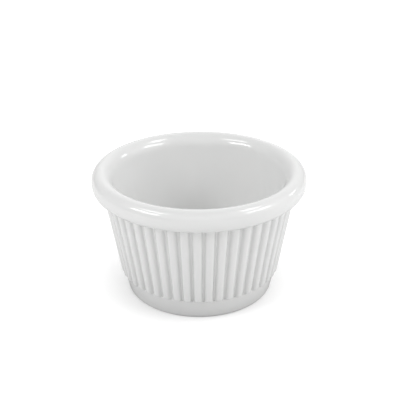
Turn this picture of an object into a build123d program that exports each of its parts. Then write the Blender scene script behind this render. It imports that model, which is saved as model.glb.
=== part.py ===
from build123d import *
import os
from math import acos, atan, ceil, cos, pi, radians, sin, tan

os.makedirs("parts", exist_ok=True)

# A small ramekin, compression moulded in one piece: a tapered cup with upright ribs round its
# outside, a rolled rim, a plain band above the foot and a shallow recess under the floor.
# Lengths are in millimetres. The origin is the middle of the foot, on the surface that the
# cup stands on, +Z points up out of its mouth, and a rib is centred on -Y.

# The whole cup
rim_diameter = 81.0
cup_height = 48.7
foot_diameter = 56.2
wall_thickness = 3.0
floor_thickness = 3.6
inside_corner_radius = 12.0

# The rolled rim, which stands out past the wall and sets how far the wall leans
rim_overhang = 5.15
rim_depth = 8.5
rim_side_height = 0.85

# The foot, and the plain band above it, which leans out a little more than the wall does
foot_edge_radius = 0.9
foot_ring_width = 3.6
foot_recess_depth = 1.2
foot_band_height = 7.5
foot_band_lean = radians(12.5)

# The ribs, which start just above the band, with shares of the distance between ribs
rib_count = 45
rib_start_height = 7.9
rib_height = 1.0
rib_crown = 0.31
rib_crest_share = 0.53
rib_root_share = 0.72
rib_shoulder_radius = 0.7
rib_seat_depth = 0.5

# How far the steps that make up a turned round may lie inside the true round
round_tolerance = 0.025

rim_radius = rim_diameter / 2
foot_radius = foot_diameter / 2
rim_underside = cup_height - rim_depth
band_top_radius = foot_radius + foot_band_height * tan(foot_band_lean)
lean = atan((rim_radius - rim_overhang - band_top_radius) / (rim_underside - foot_band_height))
floor_level = foot_recess_depth + floor_thickness


def wall_radius(height):
    """Outside of the wall between the ribs, above the foot band."""
    return band_top_radius + (height - foot_band_height) * tan(lean)


def inside_radius(height):
    """Inside of the wall, parallel to its outside."""
    return wall_radius(height) - wall_thickness / cos(lean)


def round_points(centre, radius, start_angle, end_angle):
    """Points along a round of the cross-section, in even steps that keep to the tolerance."""
    turn = end_angle - start_angle
    steps = ceil(abs(turn) / (2 * acos(1 - round_tolerance / radius)))
    angles = [start_angle + turn * step / steps for step in range(steps + 1)]
    return [(centre[0] + radius * cos(angle), centre[1] + radius * sin(angle)) for angle in angles]


def moulded_shell():
    """The cup without its ribs, turned from half of its cross-section."""
    recess_radius = foot_radius - foot_ring_width
    foot_edge_middle = foot_radius + foot_edge_radius * (tan(foot_band_lean) - 1 / cos(foot_band_lean))
    foot_edge = (foot_edge_middle, foot_edge_radius)

    lip_width = rim_radius - inside_radius(cup_height)
    roll_radius = lip_width * cos(lean) / (1 + cos(lean) - sin(lean))
    roll = (rim_radius - roll_radius, cup_height - roll_radius)
    under_radius = min(rim_depth - roll_radius - rim_side_height, rim_overhang - rib_height)
    under = (rim_radius - under_radius, rim_underside + under_radius)

    corner_height = floor_level + inside_corner_radius
    corner = (inside_radius(corner_height) - inside_corner_radius / cos(lean), corner_height)

    section = Polyline(
        (0, foot_recess_depth),
        (recess_radius, foot_recess_depth),
        (recess_radius, 0),
        *round_points(foot_edge, foot_edge_radius, -pi / 2, -foot_band_lean),
        (band_top_radius, foot_band_height),
        (wall_radius(rim_underside), rim_underside),
        *round_points(under, under_radius, -pi / 2, 0),
        *round_points(roll, roll_radius, 0, pi / 2),
        *round_points(roll, roll_radius, pi / 2, pi - lean)[1:],
        *round_points(corner, inside_corner_radius, -lean, -pi / 2),
        (0, floor_level),
        close=True,
    )
    return revolve(Plane.XZ * make_face(section), Axis.Z)


def rib():
    """One rib, which runs up along the wall from the foot band into the underside of the rim."""
    pitch = 2 * pi * wall_radius((rib_start_height + rim_underside) / 2) / rib_count
    crest = pitch * rib_crest_share / 2
    root = pitch * rib_root_share / 2
    shoulder = rib_height - rib_crown
    seat = root + rib_seat_depth * (root - crest) / shoulder
    crest_line = ThreePointArc((shoulder, -crest), (rib_height, 0), (shoulder, crest))
    sides = Polyline(
        crest_line @ 1,
        (-rib_seat_depth, seat),
        (-rib_seat_depth, -seat),
        crest_line @ 0,
    )
    section = make_face([crest_line, sides.edges()])
    shoulders = section.vertices().sort_by(Axis.X)[-2:]
    section = fillet(shoulders, rib_shoulder_radius)
    lower_end = Plane(
        origin=(wall_radius(rib_start_height), 0, rib_start_height),
        x_dir=(cos(lean), 0, -sin(lean)),
        z_dir=(sin(lean), 0, cos(lean)),
    )
    length = (rim_underside - rib_start_height) / cos(lean)
    return extrude(lower_end * section, length + rib_height)


front_rib = rib()
ribs = [location * front_rib for location in PolarLocations(0, rib_count, start_angle=-90)]
ramekin_body = moulded_shell() + ribs
ramekin_body.label = "ramekin_body"
export_step(ramekin_body, "parts/ramekin_body.step")
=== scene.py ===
from math import acos, atan, cos, pi, radians, sin, sqrt, tan

import bpy
from mathutils import Matrix, Vector


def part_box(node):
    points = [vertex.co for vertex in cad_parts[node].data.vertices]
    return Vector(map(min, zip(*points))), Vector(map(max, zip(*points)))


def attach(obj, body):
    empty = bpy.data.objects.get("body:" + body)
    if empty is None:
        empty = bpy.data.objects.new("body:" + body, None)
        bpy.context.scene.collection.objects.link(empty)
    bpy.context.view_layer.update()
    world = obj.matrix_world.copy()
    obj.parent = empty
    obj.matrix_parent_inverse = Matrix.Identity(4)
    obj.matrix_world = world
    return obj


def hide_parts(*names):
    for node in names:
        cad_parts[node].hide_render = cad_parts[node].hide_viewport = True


# One white ramekin on a plain pale floor, in soft light from all sides. Lengths are in metres.
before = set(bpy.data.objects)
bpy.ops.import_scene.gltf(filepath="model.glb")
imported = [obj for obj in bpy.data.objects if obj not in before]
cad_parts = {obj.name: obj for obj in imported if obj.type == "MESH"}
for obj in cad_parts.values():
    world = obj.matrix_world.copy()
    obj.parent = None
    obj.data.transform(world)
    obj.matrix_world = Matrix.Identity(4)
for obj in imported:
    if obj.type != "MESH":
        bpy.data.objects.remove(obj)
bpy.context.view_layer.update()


# The ramekin is one piece of hard white resin, cured under pressure in a polished steel mould
# that forms its rolled rim, its ribs and its foot in one shot. The gloss comes off the mould,
# so it is even all over, with only the faint ripple that the hand-polished steel leaves.
low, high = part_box("ramekin_body")
rim_radius = min(-low.x, high.x)  # the smaller one, so that the round rim stays inside the box
cup_height = high.z

# The rolled rim: a round over its top that falls more gently into the cup than outward, and a
# squarer one under it, which meets the ribs in a small round of its own.
rim_top_width = 0.0034
rim_top_height = 0.00375
rim_inner_width = 0.0045
rim_inner_height = 0.0064
rim_under_width = 0.0060
rim_under_height = 0.00475
rim_under_power = 2.7
rim_root_radius = 0.0004
rim_root_width = 0.0010

# The foot with the plain band above it, the recess under the floor, and the inside of the cup
foot_radius = 0.0281
foot_band_height = 0.0075
foot_band_lean = radians(12.5)
foot_band_rows = (0.0012, 0.0035, 0.0060, 0.0071)
foot_edge_radius = 0.0009
foot_ring_width = 0.0036
foot_recess_depth = 0.0012
foot_recess_radius = 0.0004
floor_thickness = 0.0036
inside_corner_radius = 0.0120

# The ribs: a broad crest, two round shoulders and steep flanks that meet the groove in a small
# round. A groove ends just above the band, and its bottom lies deeper than the band's surface by
# the depth of the pocket.
rib_count = 48
rib_start_height = 0.0079
rib_height = 0.0015
rib_foot_radius = 0.03086
rib_top_radius = 0.03636
rib_crest_radius = 0.0026
rib_crest_angle = radians(14)
rib_shoulder_radius = 0.0013
rib_flank_angle = radians(66)
rib_root_radius = 0.00035
groove_pocket = 0.0005
rib_end_round = 0.0005
rib_end_row_shares = (0.04, 0.14, 0.3, 0.5, 0.75, 1.0)

rim_middle = cup_height - rim_top_height
rim_underside = rim_middle - rim_under_height
lean = atan((rib_top_radius - rib_foot_radius) / (rim_underside - rib_start_height))


def wall_radius(height, lift=0.0):
    """Bottom of the grooves between the ribs, or a surface that stands out from it by lift."""
    crest_radius = rib_foot_radius + (height - rib_start_height) * tan(lean)
    return crest_radius + (lift - rib_height) / cos(lean)


def band_radius(height):
    """Outside of the plain band above the foot, which leans a little more than the wall does."""
    top_radius = wall_radius(foot_band_height, groove_pocket)
    return top_radius - (foot_band_height - height) * tan(foot_band_lean)


def under_rim(radius):
    """Height of the underside of the rim at a radius."""
    share = max(0.0, (radius - rim_radius + rim_under_width) / rim_under_width)
    return rim_middle - rim_under_height * (1 - share ** rim_under_power) ** (1 / rim_under_power)


def bend(centre, radius, start, end, steps):
    """Points on a round, from one angle to another."""
    angles = [start + (end - start) * step / steps for step in range(steps + 1)]
    return [(centre[0] + radius * cos(angle), centre[1] + radius * sin(angle)) for angle in angles]


def straight(start, end, shares=(0.02, 0.5, 0.98)):
    """Points on a straight stretch between two rounds, close to its ends, to keep its shading flat."""
    return [(start[0] + (end[0] - start[0]) * share, start[1] + (end[1] - start[1]) * share)
            for share in shares]


def rib_outline():
    """A rib cut across: distances from its middle and heights off the groove, for one half of it."""
    crest_centre = (0, rib_height - rib_crest_radius)
    crest = bend(crest_centre, rib_crest_radius, pi / 2, pi / 2 - rib_crest_angle, steps=4)
    inner = rib_crest_radius - rib_shoulder_radius
    shoulder_centre = (inner * sin(rib_crest_angle), crest_centre[1] + inner * cos(rib_crest_angle))
    shoulder = bend(shoulder_centre, rib_shoulder_radius,
                    pi / 2 - rib_crest_angle, pi / 2 - rib_flank_angle, steps=7)
    flank_foot = rib_root_radius * (1 - cos(rib_flank_angle))
    flank_run = (shoulder[-1][1] - flank_foot) / tan(rib_flank_angle)
    root_centre = (shoulder[-1][0] + flank_run + rib_root_radius * sin(rib_flank_angle), rib_root_radius)
    root = bend(root_centre, rib_root_radius, pi * 1.5 - rib_flank_angle, pi * 1.5, steps=4)
    return crest + shoulder[1:] + root


def rim_section():
    """The rolled rim from just outside the ribs, out round its side, over its top and into the
    cup. It is the same all the way round."""
    under_middle = rim_radius - rim_under_width
    first = (rib_top_radius + rim_root_width - under_middle) / rim_under_width
    under_turn = acos(first ** (rim_under_power / 2))
    under_steps = 18
    points = []
    for step in range(under_steps + 1):
        turn = under_turn * (1 - step / under_steps)
        points.append((under_middle + rim_under_width * cos(turn) ** (2 / rim_under_power),
                       rim_middle - rim_under_height * sin(turn) ** (2 / rim_under_power)))
    top_middle = rim_radius - rim_top_width
    outer_steps = 16
    for step in range(1, outer_steps + 1):
        turn = pi / 2 * step / outer_steps
        points.append((top_middle + rim_top_width * cos(turn),
                       rim_middle + rim_top_height * sin(turn)))
    inner_middle = cup_height - rim_inner_height
    inner_turn = pi / 2 - atan(rim_inner_height / rim_inner_width * tan(lean))
    inner_steps = 18
    for step in range(1, inner_steps + 1):
        turn = inner_turn * step / inner_steps
        points.append((top_middle - rim_inner_width * sin(turn),
                       inner_middle + rim_inner_height * cos(turn)))
    return points


def cup_section(lift):
    """The cup cut through its axis where its ribs stand out by lift, from under the foot, up the
    outside, over the rim and down the inside to the middle of the floor."""
    edge = (band_radius(foot_edge_radius) - foot_edge_radius / cos(foot_band_lean), foot_edge_radius)
    recess_radius = foot_radius - foot_ring_width
    recess_corner = (recess_radius - foot_recess_radius, foot_recess_depth - foot_recess_radius)
    ring_corner = (recess_radius + foot_recess_radius, foot_recess_radius)
    under_foot = [(share * recess_corner[0], foot_recess_depth) for share in (0.1, 0.6, 0.98)]
    under_foot += bend(recess_corner, foot_recess_radius, pi / 2, 0, steps=4)
    under_foot += bend(ring_corner, foot_recess_radius, pi, pi * 1.5, steps=4)
    under_foot += straight((ring_corner[0], 0), (edge[0], 0))
    under_foot += bend(edge, foot_edge_radius, -pi / 2, -foot_band_lean, steps=8)
    band = [(band_radius(height), height) for height in foot_band_rows]
    for height in (foot_band_height, rib_start_height):
        band.append((wall_radius(height, groove_pocket), height))

    rib_end = []
    for share in rib_end_row_shares:
        height = rib_start_height + rib_end_round * share
        level = groove_pocket + (lift - groove_pocket) * sqrt(1 - (1 - share) ** 2)
        rib_end.append((wall_radius(height, level), height))

    rim = rim_section()
    root_top = under_rim(wall_radius(rim_underside, lift) + rim_root_radius)
    root_height = root_top - rim_root_radius
    root = (wall_radius(root_height, lift) + rim_root_radius / cos(lean), root_height)
    rim_root = bend(root, rim_root_radius, pi - lean, pi / 2, steps=5)
    wall = straight(rib_end[-1], rim_root[0], (0.02, 0.25, 0.5, 0.75, 0.98))
    under = []
    for share in (0.25, 0.5, 0.75):
        radius = rim_root[-1][0] + (rim[0][0] - rim_root[-1][0]) * share
        under.append((radius, under_rim(radius)))

    floor_level = foot_recess_depth + floor_thickness
    corner_height = floor_level + inside_corner_radius
    inside_at_corner = rim[-1][0] - (rim[-1][1] - corner_height) * tan(lean)
    corner = (inside_at_corner - inside_corner_radius / cos(lean), corner_height)
    inside_corner = bend(corner, inside_corner_radius, -lean, -pi / 2, steps=16)
    inside = straight(rim[-1], inside_corner[0], (0.02, 0.25, 0.5, 0.75, 0.98)) + inside_corner
    inside += straight(inside_corner[-1], (0, floor_level), (0.03, 0.5, 0.9))
    return under_foot + band + rib_end + wall + rim_root + under + rim + inside


def cup_mesh():
    """The whole cup: one section for every step round it, joined by strips of faces."""
    middle_radius = wall_radius((rib_start_height + rim_underside) / 2, rib_height)
    half = rib_outline()
    pitch = 2 * pi / rib_count
    turns = [distance / middle_radius for distance, lift in half] + [pitch / 2]
    lifts = [lift for distance, lift in half] + [0.0]
    steps = [(-turn, lift) for turn, lift in zip(turns[-1:0:-1], lifts[-1:0:-1])]
    steps += list(zip(turns[:-1], lifts[:-1]))
    sections = {lift: cup_section(lift) for lift in set(lifts)}

    vertices = []
    for rib in range(rib_count):
        for turn, lift in steps:
            angle = -pi / 2 + pitch * rib + turn
            for radius, height in sections[lift]:
                vertices.append((radius * cos(angle), radius * sin(angle), height))
    rows = len(sections[0.0])
    columns = rib_count * len(steps)
    faces = []
    for column in range(columns):
        here = column * rows
        there = (column + 1) % columns * rows
        for row in range(rows - 1):
            faces.append((here + row, there + row, there + row + 1, here + row + 1))
    under_middle = len(vertices)
    inside_middle = under_middle + 1
    vertices.append((0, 0, foot_recess_depth))
    vertices.append((0, 0, foot_recess_depth + floor_thickness))
    for column in range(columns):
        here = column * rows
        there = (column + 1) % columns * rows
        faces.append((under_middle, there, here))
        faces.append((inside_middle, here + rows - 1, there + rows - 1))
    mesh = bpy.data.meshes.new("ramekin_cup")
    mesh.from_pydata(vertices, [], faces)
    mesh.validate()
    mesh.shade_smooth()
    return mesh


def white_gloss():
    """Glossy white resin: hardly any change of tone, a faint ripple and a slightly uneven gloss."""
    material = bpy.data.materials.new("white_gloss")
    material.use_nodes = True
    nodes = material.node_tree.nodes
    links = material.node_tree.links
    surface = nodes["Principled BSDF"]
    surface.inputs["IOR"].default_value = 1.6
    place = nodes.new("ShaderNodeTexCoord")

    def patches(scale, detail):
        """Soft uneven patches all over the cup, smaller where the scale is larger."""
        noise = nodes.new("ShaderNodeTexNoise")
        noise.inputs["Scale"].default_value = scale
        noise.inputs["Detail"].default_value = detail
        links.new(place.outputs["Object"], noise.inputs["Vector"])
        return noise.outputs["Fac"]

    tone = nodes.new("ShaderNodeValToRGB")
    tone.color_ramp.elements[0].position = 0.3
    tone.color_ramp.elements[0].color = (0.765, 0.768, 0.765, 1)
    tone.color_ramp.elements[1].position = 0.7
    tone.color_ramp.elements[1].color = (0.785, 0.786, 0.780, 1)
    links.new(patches(45.0, 3.0), tone.inputs["Fac"])
    links.new(tone.outputs["Color"], surface.inputs["Base Color"])

    gloss = nodes.new("ShaderNodeMapRange")
    gloss.inputs["To Min"].default_value = 0.09
    gloss.inputs["To Max"].default_value = 0.13
    links.new(patches(140.0, 2.0), gloss.inputs["Value"])
    links.new(gloss.outputs["Result"], surface.inputs["Roughness"])

    ripple = nodes.new("ShaderNodeBump")
    ripple.inputs["Strength"].default_value = 0.5
    ripple.inputs["Distance"].default_value = 0.00004
    links.new(patches(170.0, 1.0), ripple.inputs["Height"])
    links.new(ripple.outputs["Normal"], surface.inputs["Normal"])
    return material


cup = bpy.data.objects.new("ramekin_cup", cup_mesh())
bpy.context.collection.objects.link(cup)
cup.data.materials.append(white_gloss())
even_shading = cup.modifiers.new("even_shading", "WEIGHTED_NORMAL")
even_shading.keep_sharp = True
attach(cup, "root")
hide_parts("ramekin_body")


# The floor is a wide matt sheet, which throws less light back close to the foot: its colour there is
# painted darker, a painted shade where the cup's own shade lies. To the camera it is white and glows
# faintly, a painted glow that is weaker by the foot, so that it paints the tight soft shadow and runs
# out to plain white.
half_floor = 1.5
shade_start = 0.029
seen_shade_end = 0.046
bounce_shade_end = 0.055


def sheet_with_painted_shade():
    """Matt white, with a glow of its own for the camera alone, a painted light that is weaker near the
    foot, and a colour for the light it throws back that is painted darker near the foot.
    """
    material = bpy.data.materials.new("floor_paint")
    material.use_nodes = True
    nodes = material.node_tree.nodes
    links = material.node_tree.links
    nodes.clear()
    rays = nodes.new("ShaderNodeLightPath")
    place = nodes.new("ShaderNodeTexCoord")
    from_cup = nodes.new("ShaderNodeVectorMath")
    from_cup.operation = "LENGTH"
    links.new(place.outputs["Object"], from_cup.inputs[0])

    def rising(end, value_at_foot, value_away):
        """A value that rises with the distance from the middle of the foot."""
        rise = nodes.new("ShaderNodeMapRange")
        rise.inputs["From Min"].default_value = shade_start
        rise.inputs["From Max"].default_value = end
        rise.inputs["To Min"].default_value = value_at_foot
        rise.inputs["To Max"].default_value = value_away
        links.new(from_cup.outputs["Value"], rise.inputs["Value"])
        return rise.outputs["Result"]

    # The colour for the light thrown back is painted darker near the foot: painted shade where the cup's
    # own shade lies.
    bounce_paint_painted_shade = nodes.new("ShaderNodeBsdfDiffuse")
    painted_bounce_shade = rising(bounce_shade_end, value_at_foot=0.50, value_away=0.96)
    links.new(painted_bounce_shade, bounce_paint_painted_shade.inputs["Color"])
    seen_paint = nodes.new("ShaderNodeBsdfDiffuse")
    seen_paint.inputs["Color"].default_value = (0.82, 0.82, 0.82, 1)
    paint = nodes.new("ShaderNodeMixShader")
    links.new(rays.outputs["Is Camera Ray"], paint.inputs["Fac"])
    links.new(bounce_paint_painted_shade.outputs["BSDF"], paint.inputs[1])
    links.new(seen_paint.outputs["BSDF"], paint.inputs[2])

    # The glow for the camera is painted light, weaker near the foot, so that it paints the shadow's
    # tight edge.
    glow_strength = nodes.new("ShaderNodeMath")
    glow_strength.operation = "MULTIPLY"
    links.new(rays.outputs["Is Camera Ray"], glow_strength.inputs[0])
    links.new(rising(seen_shade_end, value_at_foot=0.18, value_away=0.45), glow_strength.inputs[1])
    glow = nodes.new("ShaderNodeEmission")
    links.new(glow_strength.outputs["Value"], glow.inputs["Strength"])

    both = nodes.new("ShaderNodeAddShader")
    output = nodes.new("ShaderNodeOutputMaterial")
    links.new(paint.outputs["Shader"], both.inputs[0])
    links.new(glow.outputs["Emission"], both.inputs[1])
    links.new(both.outputs["Shader"], output.inputs["Surface"])
    return material


floor_mesh = bpy.data.meshes.new("floor")
floor_corners = [(-half_floor, -half_floor, 0), (half_floor, -half_floor, 0),
                 (half_floor, half_floor, 0), (-half_floor, half_floor, 0)]
floor_mesh.from_pydata(floor_corners, [], [(0, 1, 2, 3)])
floor = bpy.data.objects.new("floor", floor_mesh)
bpy.context.collection.objects.link(floor)
floor.data.materials.append(sheet_with_painted_shade())


# Two pairs of softboxes, one pair each side and a little in front, put the bright streaks on the
# rim, with a small lamp low on the right. The white room gives the rest: each side of it is a
# wide panel of its own strength, which fades out all round, so it leaves no edge in the gloss.
lamp_distance = 1.0
panel_falloff = 4.0


def towards(azimuth, elevation):
    """The direction from the cup to a light, its azimuth in degrees round from the front."""
    level = cos(radians(elevation))
    return Vector((
        sin(radians(azimuth)) * level,
        -cos(radians(azimuth)) * level,
        sin(radians(elevation)),
    ))


def softbox(name, azimuth, elevation, width, height, power):
    """A lamp of a width and height in metres and a power in watts, which faces the rim."""
    lamp = bpy.data.lights.new(name, "AREA")
    lamp.shape = "RECTANGLE"
    lamp.size = width
    lamp.size_y = height
    lamp.energy = power
    box = bpy.data.objects.new(name, lamp)
    bpy.context.collection.objects.link(box)
    box.location = Vector((0, 0, cup_height)) + towards(azimuth, elevation) * lamp_distance
    box.rotation_mode = "QUATERNION"
    box.rotation_quaternion = towards(azimuth, elevation).to_track_quat("Z", "Y")


softbox("lamp_left_upper", -64, 54, 0.46, 0.18, 1.25)
softbox("lamp_left_lower", -60, 33, 0.50, 0.18, 2.20)
softbox("lamp_right_upper", 84, 58, 0.30, 0.20, 1.10)
softbox("lamp_right_lower", 69, 33, 0.48, 0.22, 1.70)
softbox("lamp_right_small", 118, 21, 0.18, 0.12, 0.40)

room = bpy.data.worlds.new("room")
bpy.context.scene.world = room
room.use_nodes = True
room_nodes = room.node_tree.nodes
room_links = room.node_tree.links
room_nodes.clear()
direction = room_nodes.new("ShaderNodeTexCoord")


def add_panel(others, azimuth, elevation, strength):
    """One side of the room, added to the strength of the others."""
    facing = room_nodes.new("ShaderNodeVectorMath")
    facing.operation = "DOT_PRODUCT"
    facing.inputs[1].default_value = towards(azimuth, elevation)
    ahead = room_nodes.new("ShaderNodeMath")
    ahead.operation = "MAXIMUM"
    ahead.inputs[1].default_value = 0.0
    fading = room_nodes.new("ShaderNodeMath")
    fading.operation = "POWER"
    fading.inputs[1].default_value = panel_falloff
    total = room_nodes.new("ShaderNodeMath")
    total.operation = "MULTIPLY_ADD"
    total.inputs[1].default_value = strength
    total.inputs[2].default_value = 0.0
    room_links.new(direction.outputs["Generated"], facing.inputs[0])
    room_links.new(facing.outputs["Value"], ahead.inputs[0])
    room_links.new(ahead.outputs["Value"], fading.inputs[0])
    room_links.new(fading.outputs["Value"], total.inputs[0])
    if others is not None:
        room_links.new(others, total.inputs[2])
    return total.outputs["Value"]


room_strength = add_panel(None, 0, 32, 0.86)
room_strength = add_panel(room_strength, 90, 22, 1.32)
room_strength = add_panel(room_strength, 180, 22, 1.22)
room_strength = add_panel(room_strength, -90, 22, 0.78)
room_light = room_nodes.new("ShaderNodeBackground")
room_light.inputs["Color"].default_value = (1, 1, 1, 1)
room_links.new(room_strength, room_light.inputs["Strength"])
room_view = room_nodes.new("ShaderNodeBackground")
room_view.inputs["Color"].default_value = (1, 1, 1, 1)
room_view.inputs["Strength"].default_value = 1.0
room_rays = room_nodes.new("ShaderNodeLightPath")
room_mix = room_nodes.new("ShaderNodeMixShader")
room_output = room_nodes.new("ShaderNodeOutputWorld")
room_links.new(room_rays.outputs["Is Camera Ray"], room_mix.inputs["Fac"])
room_links.new(room_light.outputs["Background"], room_mix.inputs[1])
room_links.new(room_view.outputs["Background"], room_mix.inputs[2])
room_links.new(room_mix.outputs["Shader"], room_output.inputs["Surface"])


# The camera stands where the photograph was taken from, about 25 degrees above the table and
# just off the middle of the front rib. It tips to the side by less than half a degree.
camera_azimuth = radians(1.159)
camera_elevation = radians(25.49)
camera_distance = 0.3050
camera_roll = -0.006
aim_height = 0.03482
aim_sideways = 0.0003
camera = bpy.data.objects.new("camera", bpy.data.cameras.new("camera"))
bpy.context.collection.objects.link(camera)
camera.data.sensor_width = 36.0
camera.data.lens = 71.45
camera.data.clip_start = 0.01
back = Vector((
    sin(camera_azimuth) * cos(camera_elevation),
    -cos(camera_azimuth) * cos(camera_elevation),
    sin(camera_elevation),
))
sideways = Vector((cos(camera_azimuth), sin(camera_azimuth), 0))
aim = sideways * aim_sideways + Vector((0, 0, aim_height))
roll = Matrix.Rotation(camera_roll, 3, "Z")
camera.rotation_mode = "QUATERNION"
camera.rotation_quaternion = (back.to_track_quat("Z", "Y").to_matrix() @ roll).to_quaternion()
camera.location = aim + back * camera_distance
bpy.context.scene.camera = camera
bpy.context.scene.view_settings.view_transform = "Standard"
